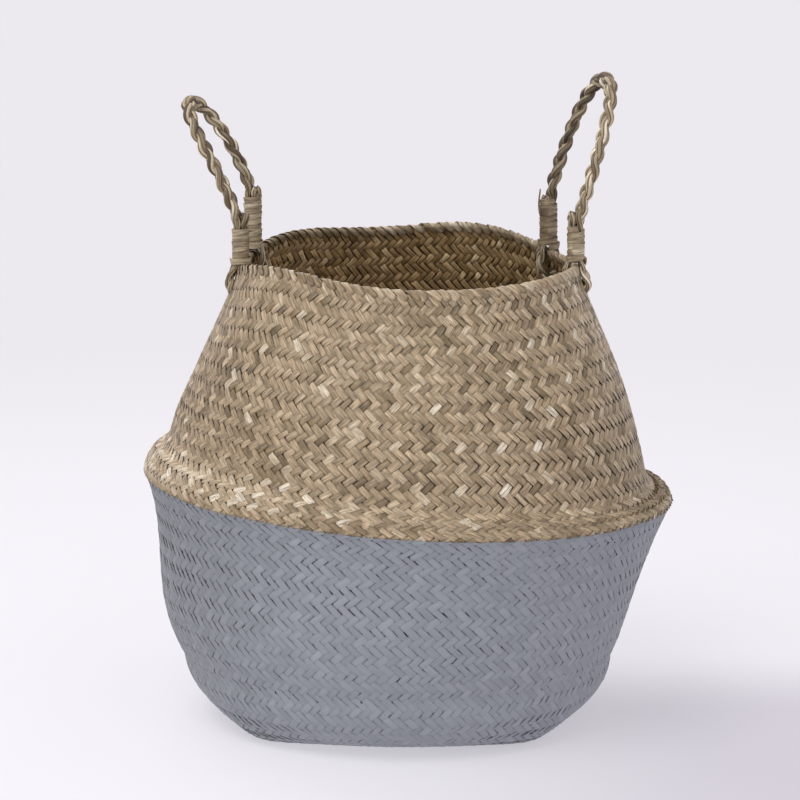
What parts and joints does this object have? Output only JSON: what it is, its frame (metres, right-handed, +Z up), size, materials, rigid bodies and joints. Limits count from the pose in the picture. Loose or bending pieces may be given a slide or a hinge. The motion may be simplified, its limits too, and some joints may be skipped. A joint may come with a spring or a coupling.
{
  "type": "belly basket",
  "caption": "Plaited round-bellied storage basket with a painted lower half, a wavy mouth and rope loop handles bound to the rim; the upper half pushes down into the belly.",
  "frame": {"origin": "on the floor under the middle of the belly", "axes": "+Z up through the mouth; -Y is the front, with a handle at each side, near -X and +X"},
  "size_m": [0.35, 0.35, 0.4227],
  "materials": {
    "straw_weave": "satin",
    "painted_weave": "matte",
    "rope": "satin",
    "binding_strip": "satin"
  },
  "bodies": {
    "root": {"base_panel": "painted_weave", "lower_wall": "painted_weave", "belly_fold": "straw_weave"},
    "neck": {"neck_wall": "straw_weave", "rim_border": "straw_weave", "left_front_leg": "rope", "left_front_binding": "binding_strip", "left_back_leg": "rope", "left_back_binding": "binding_strip", "right_front_leg": "rope", "right_front_binding": "binding_strip", "right_back_leg": "rope", "right_back_binding": "binding_strip", "right_back_strip_end": "binding_strip"},
    "left_loop": {"left_handle_loop": "rope"},
    "right_loop": {"right_handle_loop": "rope"}
  },
  "joints": [
    {"name": "collapse", "type": "slide", "parent": "root", "child": "neck", "axis": [0, 0, 1], "range_m": [-0.058, 0]},
    {"name": "left_loop_swing", "type": "hinge", "parent": "neck", "child": "left_loop", "pos_m": [-0.11164, -0.01173, 0.33456], "axis": [0.1176, 0.9565, 0.267], "range_deg": [-65, 85]},
    {"name": "right_loop_swing", "type": "hinge", "parent": "neck", "child": "right_loop", "pos_m": [0.11182, -0.00978, 0.33391], "axis": [0.223, -0.9663, -0.1285], "range_deg": [-75, 50]}
  ]
}
